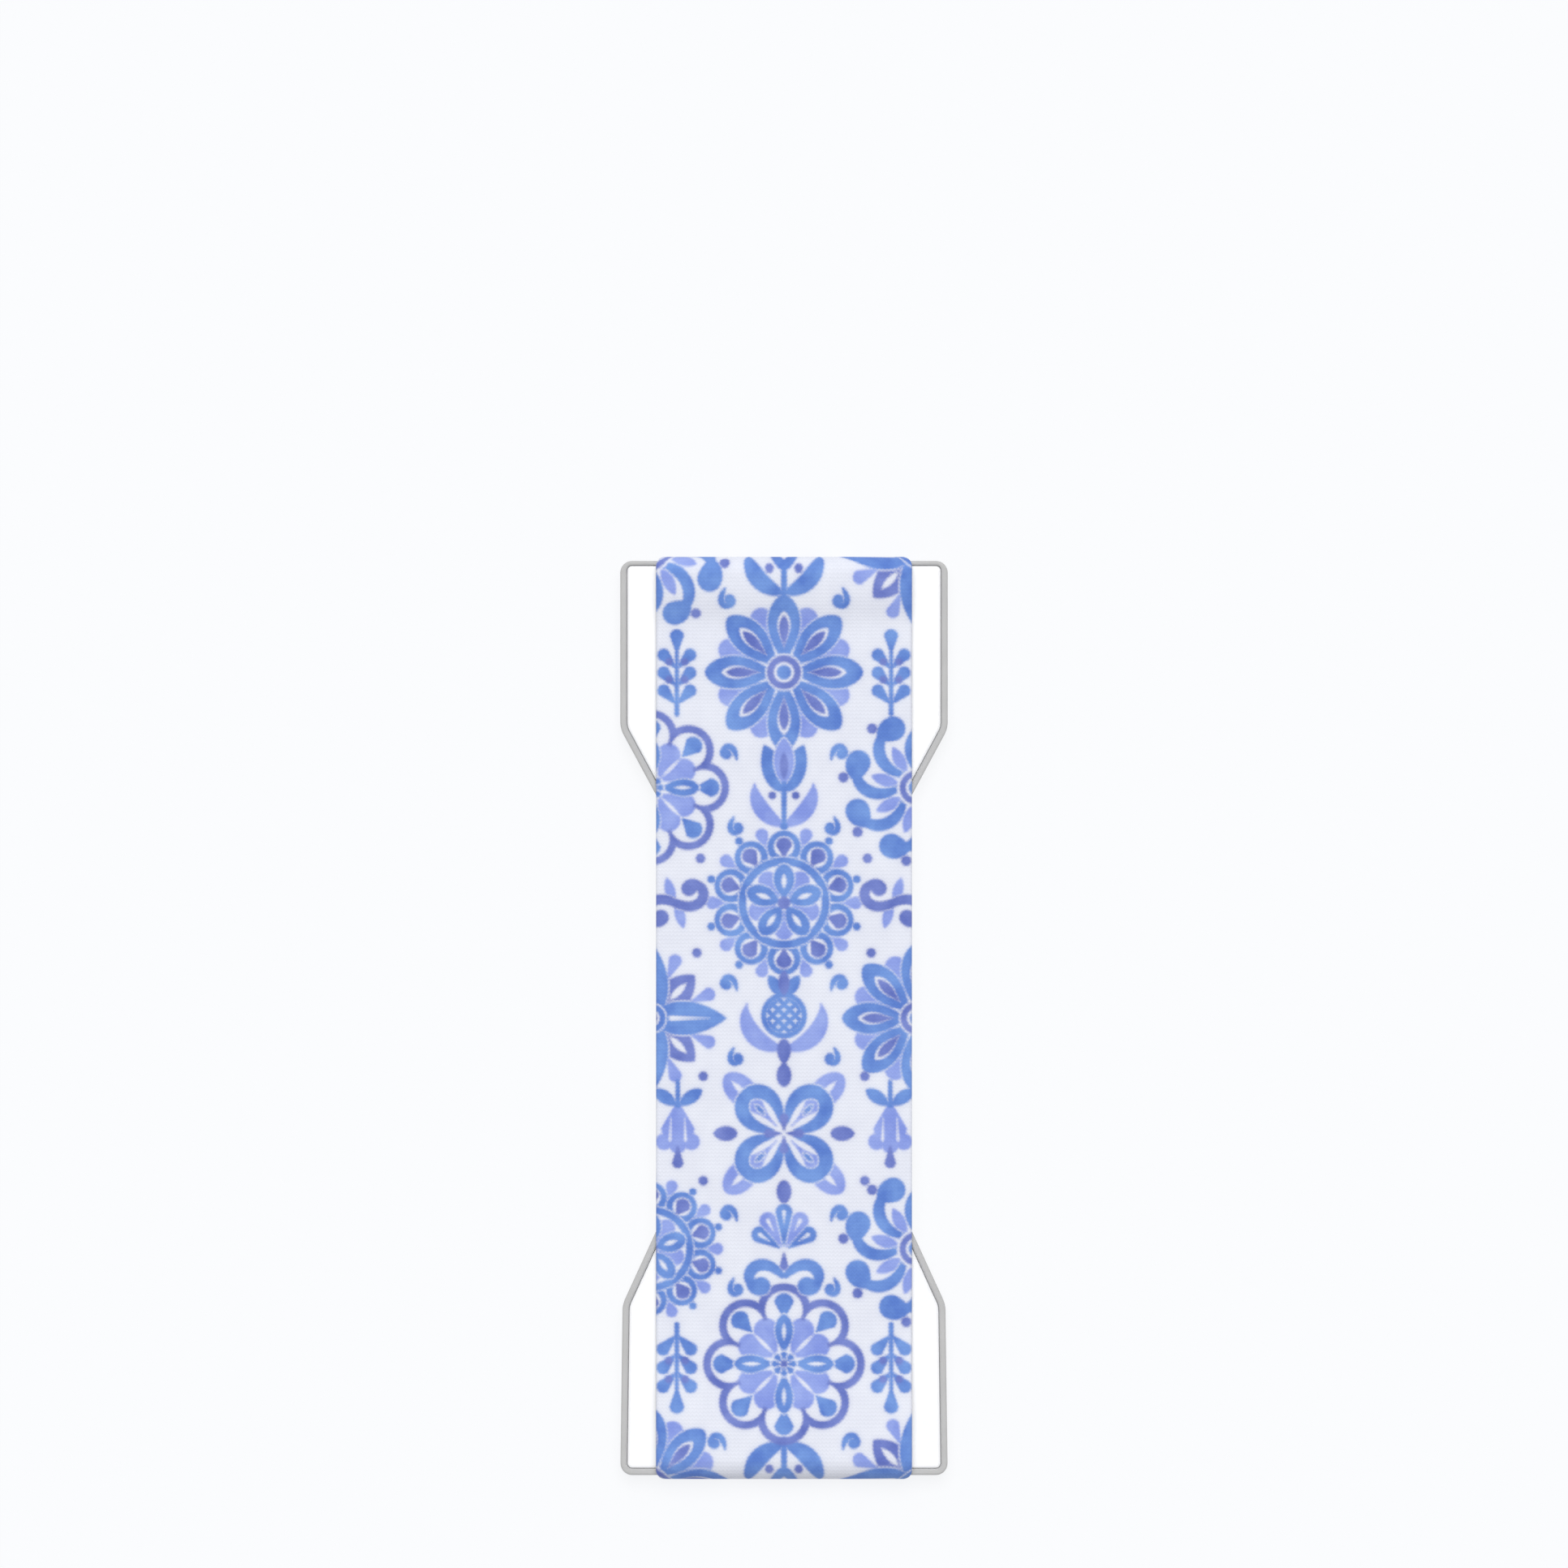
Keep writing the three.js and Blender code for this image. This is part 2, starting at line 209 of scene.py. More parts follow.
def light_the_scene():
    """A broad soft light from beyond the upper end, over an even white surround."""
    world = bpy.data.worlds.new("surround")
    bpy.context.scene.world = world
    world.use_nodes = True
    tree = world.node_tree
    tree.nodes.clear()
    ray = add(tree, "ShaderNodeLightPath")
    seen = add(
        tree,
        "ShaderNodeMath",
        {0: ray.outputs["Is Camera Ray"], 1: ray.outputs["Is Glossy Ray"]},
        operation="MAXIMUM",
    )
    strength = add(tree, "ShaderNodeMapRange", {"Value": seen, "To Min": SURROUND_LIGHT, "To Max": 1.0})
    background = add(
        tree,
        "ShaderNodeBackground",
        {"Color": colour("#FFFFFF"), "Strength": strength},
    )
    add(tree, "ShaderNodeOutputWorld", {0: background})

    data = bpy.data.lights.new("soft_key", "SUN")
    data.energy = KEY_LIGHT
    data.angle = math.radians(KEY_SPREAD)
    key = bpy.data.objects.new("soft_key", data)
    bpy.context.scene.collection.objects.link(key)
    tilt = math.radians(KEY_TILT)
    downwards = Vector((0.0, -math.sin(tilt), -math.cos(tilt)))
    key.rotation_euler = downwards.to_track_quat("-Z", "Y").to_euler()


# Print, drawn in millimetres of the flat band: x across it, y along it, towards the upper end


def turned(x, y, degrees):
    """The point seen from axes turned by an angle."""
    cosine, sine = np.cos(np.radians(degrees)), np.sin(np.radians(degrees))
    return x * cosine + y * sine, y * cosine - x * sine


def folded(x, y, count, phase=0.0):
    """Folds the plane into one half sector, so that what is drawn along +Y repeats count times."""
    angle = np.arctan2(x, y) - np.radians(phase)
    sector = 2 * np.pi / count
    angle = np.abs((angle + sector / 2) % sector - sector / 2)
    radius = np.hypot(x, y)
    return radius * np.sin(angle), radius * np.cos(angle)


def spun(x, y, count, draw):
    """The nearest of what draw makes, repeated round the middle without mirroring."""
    sector = 360 / count
    nearest = np.round(np.degrees(np.arctan2(x, y)) / sector)
    turns = [-(nearest + step) * sector for step in (-1, 0, 1)]
    return np.minimum.reduce([draw(*turned(x, y, degrees)) for degrees in turns])


def disc(x, y, centre, radius):
    return np.hypot(x - centre[0], y - centre[1]) - radius


def hoop(x, y, centre, radius, width):
    return np.abs(np.hypot(x - centre[0], y - centre[1]) - radius) - width / 2


def stroke(x, y, points, radii):
    """A brush stroke through points, its half width given at each."""
    points = np.asarray(points, float)
    radii = np.broadcast_to(np.asarray(radii, float), len(points))
    nearest = np.full(np.shape(x), np.inf)
    for start, end, first, last in zip(points[:-1], points[1:], radii[:-1], radii[1:]):
        run = end - start
        share = ((x - start[0]) * run[0] + (y - start[1]) * run[1]) / max(run @ run, 1e-9)
        share = np.clip(share, 0, 1)
        away = np.hypot(x - start[0] - share * run[0], y - start[1] - share * run[1])
        nearest = np.minimum(nearest, away - (first + (last - first) * share))
    return nearest


def petal(x, y, base, tip, width, fullness=0.5):
    """A leaf pointed at both ends, widest at a share of its length."""
    share = np.linspace(0, 1, 27)
    power = np.log(0.5) / np.log(fullness)
    half = width / 2 * np.sin(np.pi * share**power) ** 0.9
    base, tip = np.array(base, float), np.array(tip, float)
    return stroke(x, y, base + (tip - base) * share[:, None], half)


def drop(x, y, tip, head, radius):
    """A tear drop: pointed at its tip, round at its head."""
    return stroke(x, y, [tip, head], [0.04, radius])


def bend(start, heading, length, turn, tightening):
    """Points of a curve that turns by an angle along its length, ever more tightly."""
    share = np.linspace(0, 1, STROKE_STEPS + 1)
    angle = np.radians(heading + turn * share ** (1 + tightening))
    middle = (angle[1:] + angle[:-1]) / 2
    step = length / STROKE_STEPS
    xs = start[0] + np.concatenate([[0], np.cumsum(np.cos(middle))]) * step
    ys = start[1] + np.concatenate([[0], np.cumsum(np.sin(middle))]) * step
    return np.column_stack([xs, ys])


def swell(peak, tip=0.08, ball=0.0):
    """Half widths along a stroke that swells in the middle and may end in a ball."""
    share = np.linspace(0, 1, STROKE_STEPS + 1)
    along_swell = np.clip(share * 1.04, 0, 1)
    half = tip + (peak - tip) * np.sin(np.pi * along_swell) ** 0.8
    ball_start = 0.62
    into_ball = np.clip((share - ball_start) / (1 - ball_start), 0, 1)
    return np.maximum(half, ball * into_ball**2 * (3 - 2 * into_ball))


def scroll(x, y, start, heading, length, turn, half, tightening=0.8):
    """A stroke along a curve that curls in, its half widths given."""
    return stroke(x, y, bend(start, heading, length, turn, tightening), half)


def union(*fields):
    return np.minimum.reduce(fields)


# Motifs, each drawn round its own middle or upwards from its foot, as layers of ink from the lowest up


def star_flower(x, y):
    """Eight long petals with pale hearts, drops between them and a ringed eye."""
    fx, fy = folded(x, y, 8)
    gx, gy = folded(x, y, 8, phase=22.5)
    return [
        ("periwinkle", drop(gx, gy, (0, 3.2), (0, 6.5), 1.15)),
        ("ground", petal(fx, fy, (0, 0.6), (0, 8.7), 3.9, 0.62)),
        ("blue", petal(fx, fy, (0, 0.6), (0, 8.6), 3.5, 0.62)),
        ("ground", petal(fx, fy, (0, 2.6), (0, 6.9), 1.5, 0.62)),
        ("violet", petal(fx, fy, (0, 2.9), (0, 6.3), 0.95, 0.6)),
        ("ground", disc(x, y, (0, 0), 2.1)),
        ("violet", hoop(x, y, (0, 0), 1.5, 0.6)),
        ("blue", disc(x, y, (0, 0), 0.72)),
    ]


def foiled_medallion(x, y):
    """A line in eight foils round eight drops, four pairs of plump lobes, four leaves and a daisy."""
    fx, fy = folded(x, y, 8)
    hx, hy = folded(x, y, 4, phase=45)
    qx, qy = folded(x, y, 4)
    foils = union(disc(fx, fy, (0, 6.1), 2.55), disc(x, y, (0, 0), 5.8))
    return [
        ("violet", np.abs(foils) - 0.36),
        ("blue", drop(fx, fy, (0, 5.2), (0, 6.9), 1.0)),
        ("periwinkle", drop(hx, hy, (0.1, 1.3), (1.25, 4.1), 1.3)),
        ("ground", petal(hx, hy, (0, 1.6), (0, 4.9), 0.5)),
        ("ground", petal(qx, qy, (0, 1.0), (0, 5.7), 2.3, 0.62)),
        ("blue", petal(qx, qy, (0, 1.0), (0, 5.5), 1.9, 0.62)),
        ("ground", petal(qx, qy, (0, 2.6), (0, 4.7), 0.5)),
        ("ground", disc(x, y, (0, 0), 1.6)),
        ("blue", drop(fx, fy, (0, 0.5), (0, 1.05), 0.28)),
        ("violet", disc(x, y, (0, 0), 0.3)),
    ]


def lace_rosette(x, y):
    """Ten arches with drops in them round a ring, with a five-petalled flower at the middle."""
    fx, fy = folded(x, y, 10)
    gx, gy = folded(x, y, 10, phase=18)
    mx, my = folded(x, y, 5)
    nx, ny = folded(x, y, 5, phase=36)
    return [
        ("periwinkle", drop(gx, gy, (0, 6.0), (0, 7.7), 0.62)),
        ("ground", disc(fx, fy, (0, 6.0), 1.95)),
        ("blue", disc(fx, fy, (0, 6.0), 1.74)),
        ("ground", disc(fx, fy, (0, 6.1), 1.12)),
        ("violet", drop(fx, fy, (0, 5.0), (0, 6.2), 0.8)),
        ("blue", disc(fx, fy, (0, 8.25), 0.36)),
        ("ground", disc(x, y, (0, 0), 5.05)),
        ("blue", hoop(x, y, (0, 0), 4.5, 0.72)),
        ("periwinkle", drop(nx, ny, (0, 1.0), (0, 2.95), 0.95)),
        ("ground", petal(mx, my, (0, 0.3), (0, 4.1), 2.5, 0.62)),
        ("blue", petal(mx, my, (0, 0.3), (0, 4.0), 2.1, 0.62)),
        ("ground", petal(mx, my, (0, 1.5), (0, 3.2), 0.6)),
        ("violet", disc(x, y, (0, 0), 0.6)),
    ]


def clover_cross(x, y):
    """Four pairs of curled lobes with a drop in each, four spears and four broad leaves behind."""
    fx, fy = folded(x, y, 4)
    gx, gy = folded(x, y, 4, phase=45)
    curl = scroll(fx, fy, (0.3, 1.3), 80, 9.0, -262, swell(0.72, 0.14, 1.15))
    return [
        ("periwinkle", petal(gx, gy, (0, 1.2), (0, 8.9), 3.0, 0.72)),
        ("ground", petal(gx, gy, (0, 5.4), (0, 8.2), 0.7)),
        ("ground", curl - 0.22),
        ("blue", curl),
        ("violet", petal(fx, fy, (0, 5.3), (0, 7.7), 1.5, 0.45)),
        ("violet", drop(fx, fy, (0, 0.4), (0, 1.7), 0.42)),
    ]


def whirl(x, y):
    """Eight commas that turn round a ringed eye, with a blade between each two and a bead beyond."""
    fx, fy = folded(x, y, 8, phase=8)

    def comma_arm(u, v):
        return scroll(u, v, (0.0, 2.0), 122, 7.4, -150, swell(0.62, 0.2, 1.3), 0.3)

    def blade(u, v):
        return petal(u, v, (0.3, 2.0), (1.3, 5.0), 1.2)

    arms = spun(x, y, 8, comma_arm)
    return [
        ("periwinkle", spun(x, y, 8, blade)),
        ("ground", arms - 0.2),
        ("blue", arms),
        ("violet", disc(fx, fy, (0, 8.3), 0.5)),
        ("ground", disc(x, y, (0, 0), 2.25)),
        ("violet", hoop(x, y, (0, 0), 1.55, 0.55)),
        ("blue", disc(x, y, (0, 0), 0.8)),
    ]


def compass_star(x, y):
    """Four long and four short kite-shaped rays in two inks, drops between them and a ringed eye."""
    fx, fy = folded(x, y, 4)
    gx, gy = folded(x, y, 4, phase=45)
    hx, hy = folded(x, y, 8, phase=22.5)
    return [
        ("violet", petal(gx, gy, (0, 0.8), (0, 7.2), 3.7, 0.42)),
        ("ground", petal(gx, gy, (0, 3.0), (0, 6.0), 0.9)),
        ("ground", petal(fx, fy, (0, 0.6), (0, 9.1), 4.4, 0.38)),
        ("blue", petal(fx, fy, (0, 0.6), (0, 8.9), 3.9, 0.38)),
        ("ground", stroke(fx, fy, [(0, 2.4), (0, 7.0)], [0.34, 0.05])),
        ("periwinkle", drop(hx, hy, (0, 5.2), (0, 7.4), 0.72)),
        ("ground", disc(x, y, (0, 0), 1.9)),
        ("blue", hoop(x, y, (0, 0), 1.35, 0.55)),
        ("violet", disc(x, y, (0, 0), 0.6)),
    ]


def palmette(x, y):
    """A fan of round-headed leaves over two ball-ended scrolls."""
    ax = np.abs(x)
    layers = []
    for degrees, length, ink in ((56, 4.9, "blue"), (28, 5.6, "periwinkle"), (0, 6.2, "blue")):
        lx, ly = turned(ax, y + 0.9, -degrees)
        leaf = drop(lx, ly, (0, 0.8), (0, length - 1.0), 1.05)
        layers += [("ground", leaf - 0.18), (ink, leaf)]
        layers.append(("ground", drop(lx, ly, (0, length - 2.6), (0, length - 1.0), 0.3)))
    base = scroll(ax, y, (0.25, -4.2), 46, 8.2, -246, swell(0.72, 0.3, 1.15), 0.7)
    return [
        *layers,
        ("ground", base - 0.2),
        ("blue", base),
        ("violet", drop(x, y, (0, -1.2), (0, -2.9), 0.5)),
    ]


def tulip(x, y):
    """Three pointed petals on a stem between two long leaves."""
    ax = np.abs(x)
    outer = petal(ax, y, (0.3, -0.2), (2.5, 5.4), 2.9, 0.4)
    leaf = scroll(ax, y, (0.1, -4.8), 22, 6.8, 72, swell(0.95), 0.2)
    return [
        ("blue", outer),
        ("ground", petal(x, y, (0, 0.3), (0, 6.6), 2.9, 0.5)),
        ("periwinkle", petal(x, y, (0, 0.5), (0, 6.3), 2.4, 0.5)),
        ("violet", petal(x, y, (0, 1.2), (0, 4.4), 0.9)),
        ("blue", stroke(x, y, [(0, -5.2), (0, 0.4)], [0.2, 0.3])),
        ("periwinkle", leaf),
        ("violet", disc(ax, y, (1.5, -1.0), 0.42)),
    ]


def pomegranate(x, y):
    """A round netted fruit with a crown, between two long leaves."""
    ax = np.abs(x)
    fruit = disc(x, y, (0, 0.6), 3.0)
    lattice = np.minimum(
        np.abs((ax + y - 0.6 + 0.75) % 1.5 - 0.75),
        np.abs((ax - y + 0.6 + 0.75) % 1.5 - 0.75),
    )
    leaf = scroll(ax, y, (0.3, -3.8), 6, 8.6, 100, swell(1.1), 0.2)
    return [
        ("periwinkle", leaf),
        ("ground", fruit - 0.28),
        ("blue", fruit),
        ("ground", fruit + 0.62),
        ("blue", np.maximum(lattice / np.sqrt(2) - 0.24, fruit + 0.62)),
        ("blue", petal(ax, y, (0.2, 3.2), (2.0, 5.9), 1.5)),
        ("violet", petal(x, y, (0, 3.4), (0, 6.6), 1.3)),
        ("violet", petal(x, y, (0, -6.2), (0, -2.6), 1.7, 0.6)),
    ]


def carnation(x, y):
    """A fan of three-lobed petals in a cup with a pale heart, on a stem with two curled leaves."""
    ax = np.abs(x)
    layers = []
    for degrees in (54, 27, 0):
        lx, ly = turned(ax, y + 0.6, -degrees)
        side_lobes = drop(np.abs(lx), ly, (0.1, 1.4), (0.62, 5.6), 0.62)
        head = union(side_lobes, drop(lx, ly, (0, 1.4), (0, 5.9), 0.5))
        layers += [("ground", head - 0.2), ("periwinkle", head)]
        layers.append(("violet", stroke(lx, ly, [(0, 2.4), (0, 4.7)], [0.1, 0.26])))
    cup = petal(x, y, (0, -2.4), (0, 2.6), 3.1, 0.5)
    leaf = scroll(ax, y, (0.1, -4.9), 14, 6.6, 74, swell(0.95), 0.2)
    return [
        *layers,
        ("ground", cup - 0.2),
        ("blue", cup),
        ("ground", petal(x, y, (0, -1.2), (0, 1.4), 0.9)),
        ("blue", leaf),
        ("blue", stroke(x, y, [(0, -5.4), (0, -2.0)], [0.3, 0.24])),
        ("violet", disc(ax, y, (1.7, -2.2), 0.42)),
    ]


def olive_sprig(x, y):
    """A stem with round-ended leaves in pairs, and fruits between them."""
    ax = np.abs(x)
    leaves = [drop(ax, y, (0.1, foot), (1.75, foot + 1.75), 0.78) for foot in (-4.6, -2.2, 0.2)]
    fruits = [disc(ax, y, (1.05, foot), 0.4) for foot in (-1.35, 1.05)]
    stem = stroke(x, y, [(0, -6.0), (0, 3.4)], [0.24, 0.16])
    return [
        ("blue", union(stem, *leaves, drop(x, y, (0, 2.2), (0, 4.5), 0.85))),
        ("violet", union(*fruits)),
    ]


def bell_flower(x, y):
    """A hanging bell with a scalloped lip and a clapper, under two small leaves."""
    ax = np.abs(x)
    bell = union(
        drop(x, y, (0, 3.4), (0, 0.5), 1.75),
        disc(ax, y, (1.5, -1.0), 0.85),
        disc(x, y, (0, -1.3), 0.9),
    )
    return [
        ("periwinkle", bell),
        ("ground", stroke(ax, y, [(0.75, 1.6), (0.85, -0.8)], [0.06, 0.2])),
        ("violet", drop(x, y, (0, -1.6), (0, -3.3), 0.55)),
        ("blue", petal(ax, y, (0.1, 3.0), (2.6, 4.7), 1.3, 0.55)),
        ("blue", stroke(x, y, [(0, 3.0), (0, 5.6)], [0.22, 0.16])),
    ]


def double_scroll(x, y):
    """An S with a ball at each end and a leaf at its back."""
    arm = [scroll(u, v, (0, 0), 74, 7.6, -258, swell(0.62, 0.5, 0.95)) for u, v in ((x, y), (-x, -y))]
    leaves = [petal(u, v, (0.1, 0.2), (-1.9, 2.9), 1.2) for u, v in ((x, y), (-x, -y))]
    return [("periwinkle", union(*leaves)), ("ground", union(*arm) - 0.18), ("violet", union(*arm))]


def comma(x, y):
    """One plump curl with a long tail."""
    return [("blue", scroll(x, y, (0, -2.4), 100, 6.6, -262, swell(0.6, 0.08, 1.05), 1.2))]


def bead(x, y):
    return [("violet", disc(x, y, (0, 0), 0.5))]


def layout():
    """Every motif with its place, scale and turn: medallions in a half drop, and what fills it."""
    placed = []

    def put(motif, x, y, scale=1.0, turn=0.0):
        placed.append((motif, x, y, scale, turn))

    def pair(motif, x, y, scale=1.0, turn=0.0):
        put(motif, x, y, scale, -turn)
        put(mirrored(motif), -x, y, scale, turn)

    # Whole medallions on the middle line
    put(star_flower, 0, 1.5 * REPEAT)
    put(lace_rosette, 0, 0.5 * REPEAT, 1.02)
    put(clover_cross, 0, -0.5 * REPEAT)
    put(foiled_medallion, 0, -1.5 * REPEAT, 0.98)

    # Half ones at the edges, midway between those
    put(whirl, -EDGE_MEDALLION, END_MEDALLION, 0.98)
    put(compass_star, EDGE_MEDALLION, END_MEDALLION, 0.92)
    put(foiled_medallion, -EDGE_MEDALLION, REPEAT, 0.94)
    put(whirl, EDGE_MEDALLION, REPEAT, 0.98)
    put(compass_star, -EDGE_MEDALLION, 0.0, 0.92)
    put(star_flower, EDGE_MEDALLION, 0.0, 0.94)
    put(lace_rosette, -EDGE_MEDALLION, -REPEAT, 0.94)
    put(whirl, EDGE_MEDALLION, -REPEAT, 0.98)
    put(star_flower, -EDGE_MEDALLION, -END_MEDALLION, 0.94)
    put(compass_star, EDGE_MEDALLION, -END_MEDALLION, 0.92)

    # Upright motifs between the half medallions
    put(carnation, 0, 51.6, 0.95)
    put(tulip, 0, REPEAT, 0.86)
    put(pomegranate, 0, -0.2, 0.82)
    put(palmette, 0, -24.9, 0.82)
    put(carnation, 0, -51.6, 0.95, 180)

    # Beside the whole medallions, along the edges
    pair(olive_sprig, 11.8, 38.4, 0.82)
    pair(double_scroll, 12.0, 12.7, 0.82, 52)
    pair(bell_flower, 11.7, -12.6)
    pair(olive_sprig, 11.8, -38.9, 0.86, 180)

    # Small curls where four of these meet
    for row in (REPEAT, 0.0, -REPEAT):
        pair(comma, 5.6, row + 4.2, 0.48, 20)
        pair(comma, 5.9, row - 4.3, 0.45, 160)
    pair(comma, 6.9, 46.3, 0.5, 160)
    pair(comma, 6.9, -46.3, 0.5, 20)
    pair(bead, 9.2, 17.6, 0.9)
    pair(bead, 9.6, 7.2, 0.9)
    pair(bead, 8.9, -17.9, 0.9)
    pair(bead, 8.9, -6.4, 0.9)
    return placed


def mirrored(motif):
    return lambda x, y: motif(-x, y)


def print_fields(x, y):
    """Signed distances to the edge of each ink, negative inside, for points of the flat band."""
    fields = {ink: np.full(np.shape(x), PRINT_REACH) for ink in INKS}
    for motif, cx, cy, scale, turn in layout():
        reach = MOTIF_REACH * scale
        near = (np.abs(x - cx) < reach) & (np.abs(y - cy) < reach)
        if not near.any():
            continue
        lx, ly = turned((x[near] - cx) / scale, (y[near] - cy) / scale, turn)
        for ink, distance in motif(lx, ly):
            distance = np.minimum(distance * scale, PRINT_REACH)
            if ink == "ground":
                for field in fields.values():
                    field[near] = np.maximum(field[near], -distance)
            else:
                fields[ink][near] = np.minimum(fields[ink][near], distance - INK_SPREAD)
    return fields


# Band: middle line and sweep


def ramp(start, end, steps=60):
    """An S-shaped rise between two points in (y, z), level at both ends."""
    pull = RAMP_PULL * (end[0] - start[0])
    controls = np.array([start, (start[0] + pull, start[1]), (end[0] - pull, end[1]), end])
    t = np.linspace(0, 1, steps + 1)[:, None]
    weights = np.hstack([(1 - t) ** 3, 3 * t * (1 - t) ** 2, 3 * t**2 * (1 - t), t**3])
    return weights @ controls


def arc(centre, radius, start, end, steps=32):
    angles = np.radians(np.linspace(start, end, steps + 1))
    return np.array(centre) + radius * np.column_stack([np.cos(angles), np.sin(angles)])


def half_line(crest_turn, crest_flat, ramp_length):
    """Middle line of one end, from the middle of the strap to the tip of the tail: y, z, share of width."""
    low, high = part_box("elastic_band")
    half = CLOTH_THICKNESS / 2
    nose = high.y - half
    crest = high.z - half
    tail = low.z + half
    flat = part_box("edge_bead_left")[1].z + CLOTH_CLEARANCE + half
    crest_end = nose - crest_turn
    crest_start = crest_end - crest_flat
    top = np.vstack(
        [
            [(0.0, flat)],
            ramp((crest_start - ramp_length, flat), (crest_start, crest)),
        ]
    )
    over = arc((crest_end, crest - crest_turn), crest_turn, 90, 0)
    under = np.vstack(
        [
            arc((nose - FOOT_TURN, tail + FOOT_TURN), FOOT_TURN, 0, -90),
            [(high.y - TAIL_LENGTH, tail)],
        ]
    )

    # The band's corners are rounded over the crest, and beyond the nose it stays as narrow as there
    outer = crest_end + (over[:, 0] - crest_end) * (crest_turn + half) / crest_turn
    into_corner = np.clip((outer - high.y) / NOSE_CORNER_ROUND + 1, 0, 1)
    drawn_in = NOSE_CORNER_ROUND * (1 - np.sqrt(1 - into_corner**2))
    lost = np.concatenate([np.zeros(len(top)), drawn_in, np.full(len(under), NOSE_CORNER_ROUND)])
    return np.column_stack([np.vstack([top, over, under]), 1 - lost / high.x])


def upper_half():
    return half_line(UPPER_CREST_TURN, UPPER_CREST_FLAT, UPPER_RAMP)


def lower_half():
    return half_line(LOWER_CREST_TURN, LOWER_CREST_FLAT, LOWER_RAMP)


def band_line():
    """The whole middle line, from the tail under the lower clip to the one under the upper."""
    return np.vstack([lower_half()[:0:-1] * (-1, 1, 1), upper_half()])


def line_length(points):
    return float(np.linalg.norm(np.diff(points[:, :2], axis=0), axis=1).sum())


def band_tree():
    """Sweeps a round-edged section along a line whose radius is its share of the full width."""
    tree = bpy.data.node_groups.new("sweep_band", "GeometryNodeTree")
    sockets = tree.interface
    sockets.new_socket("Geometry", in_out="INPUT", socket_type="NodeSocketGeometry")
    for name in ("Half width", "Half thickness", "Edge round", "Middle", "Step"):
        sockets.new_socket(name, in_out="INPUT", socket_type="NodeSocketFloat")
    for name in ("Face points", "Edge points", "Back points"):
        sockets.new_socket(name, in_out="INPUT", socket_type="NodeSocketInt")
    sockets.new_socket("Material", in_out="INPUT", socket_type="NodeSocketMaterial")
    sockets.new_socket("Geometry", in_out="OUTPUT", socket_type="NodeSocketGeometry")
    given = add(tree, "NodeGroupInput").outputs
    half_turn = (0.0, 0.0, math.pi)

    # The section: face, edge, back and the other edge, joined into one ring
    reach = add(
        tree,
        "ShaderNodeMath",
        {0: given["Half width"], 1: given["Edge round"]},
        operation="SUBTRACT",
    )
    corner = add(tree, "ShaderNodeCombineXYZ", {"X": reach, "Y": given["Half thickness"]})
    mirrored_corner = add(
        tree,
        "ShaderNodeVectorMath",
        {0: corner, 1: (-1.0, 1.0, 1.0)},
        operation="MULTIPLY",
    )
    top = add(tree, "GeometryNodeCurvePrimitiveLine", {"Start": mirrored_corner, "End": corner})
    face_line = add(tree, "GeometryNodeResampleCurve", {0: top, "Count": given["Face points"]})
    bottom = add(tree, "GeometryNodeTransform", {0: top, "Rotation": half_turn})
    back_line = add(tree, "GeometryNodeResampleCurve", {0: bottom, "Count": given["Back points"]})
    round_end = add(
        tree,
        "GeometryNodeCurveArc",
        {
            "Resolution": given["Edge points"],
            "Radius": 1.0,
            "Start Angle": math.pi / 2,
            "Sweep Angle": -math.pi,
        },
        mode="RADIUS",
    )
    edge_place = add(tree, "ShaderNodeCombineXYZ", {"X": reach})
    edge_size = add(
        tree,
        "ShaderNodeCombineXYZ",
        {"X": given["Edge round"], "Y": given["Half thickness"], "Z": 1.0},
    )
    edge = add(
        tree,
        "GeometryNodeTransform",
        {0: round_end, "Translation": edge_place, "Scale": edge_size},
    )
    other_edge = add(tree, "GeometryNodeTransform", {0: edge, "Rotation": half_turn})
    pieces = add(tree, "GeometryNodeJoinGeometry", {0: [face_line, edge, back_line, other_edge]})
    wire = add(tree, "GeometryNodeCurveToMesh", {0: pieces})
    welded = add(tree, "GeometryNodeMergeByDistance", {0: wire, "Distance": WELD_DISTANCE})
    section = add(tree, "GeometryNodeMeshToCurve", {0: welded})
    place = add(tree, "ShaderNodeSeparateXYZ", {0: add(tree, "GeometryNodeInputPosition")}).outputs
    side = add(
        tree,
        "ShaderNodeMath",
        {0: place["Y"], 1: given["Half thickness"]},
        operation="DIVIDE",
    )
    section = add(tree, "GeometryNodeStoreNamedAttribute", {0: section, "Name": "side", "Value": side})

    # The line: even steps, each with its length from the middle of the strap
    line = add(
        tree,
        "GeometryNodeResampleCurve",
        {0: given["Geometry"], "Length": given["Step"]},
        mode="LENGTH",
    )
    travelled = add(tree, "GeometryNodeSplineParameter").outputs["Length"]
    along = add(
        tree,
        "ShaderNodeMath",
        {0: travelled, 1: given["Middle"]},
        operation="SUBTRACT",
    )
    line = add(tree, "GeometryNodeStoreNamedAttribute", {0: line, "Name": "along", "Value": along})
    radius = add(tree, "GeometryNodeInputRadius")
    line = add(tree, "GeometryNodeStoreNamedAttribute", {0: line, "Name": "share", "Value": radius})
    line = add(tree, "GeometryNodeSetCurveRadius", {0: line, "Radius": 1.0})

    # This normal turns the section's top outward, but the faces inward, so they are flipped below
    line = add(tree, "GeometryNodeSetCurveNormal", {0: line, "Normal": (-1.0, 0.0, 0.0)}, mode="FREE")
    swept = add(
        tree,
        "GeometryNodeCurveToMesh",
        {0: line, "Profile Curve": section, "Fill Caps": True},
    )
    swept = add(
        tree,
        "GeometryNodeStoreNamedAttribute",
        {0: swept, "Name": "across", "Value": place["X"]},
    )

